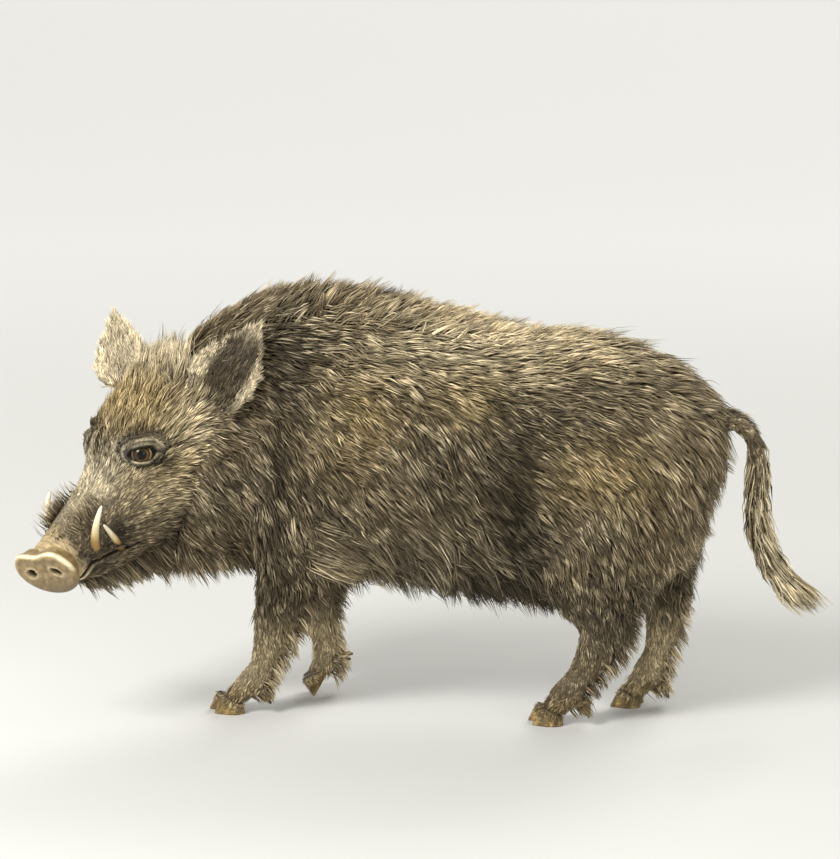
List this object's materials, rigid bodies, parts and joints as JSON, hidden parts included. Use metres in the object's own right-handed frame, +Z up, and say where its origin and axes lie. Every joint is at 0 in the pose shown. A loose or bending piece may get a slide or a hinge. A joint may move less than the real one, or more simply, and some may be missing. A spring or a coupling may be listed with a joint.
{
  "type": "wild boar",
  "caption": "Life-size still model of an adult wild boar walking, head low and turned to its left, with tusks, pricked ears, bristly coat and mane.",
  "frame": {"origin": "on the floor, under the middle of the animal's box", "axes": "+X towards the tail, so the boar faces -X; -Y to its left, the side the head turns to; +Z up"},
  "size_m": [1.5268, 0.5482, 0.8779],
  "materials": {
    "coat": "grey-brown bristles with pale tips over a dark undercoat",
    "snout": "bare tan skin, slightly moist",
    "ivory": "satin cream ivory",
    "horn": "worn yellowish horn",
    "eye": "brown eye, wet gloss"
  },
  "bodies": {
    "root": {"head": "coat", "lower_jaw": "coat", "neck": "coat", "torso": "coat", "leg_front_left": "coat", "leg_front_right": "coat", "leg_hind_left": "coat", "leg_hind_right": "coat", "tail_dock": "coat", "tail_tuft": "coat", "ear_left": "coat", "ear_right": "coat", "snout_disc": "snout", "eye_left": "eye", "eye_right": "eye", "tusk_lower_left": "ivory", "tusk_lower_right": "ivory", "tusk_upper_left": "ivory", "tusk_upper_right": "ivory", "hoof_front_left_outer": "horn", "dewclaw_front_left_outer": "horn", "hoof_front_left_inner": "horn", "dewclaw_front_left_inner": "horn", "hoof_front_right_outer": "horn", "dewclaw_front_right_outer": "horn", "hoof_front_right_inner": "horn", "dewclaw_front_right_inner": "horn", "hoof_hind_left_outer": "horn", "dewclaw_hind_left_outer": "horn", "hoof_hind_left_inner": "horn", "dewclaw_hind_left_inner": "horn", "hoof_hind_right_outer": "horn", "dewclaw_hind_right_outer": "horn", "hoof_hind_right_inner": "horn", "dewclaw_hind_right_inner": "horn"}
  },
  "joints": []
}
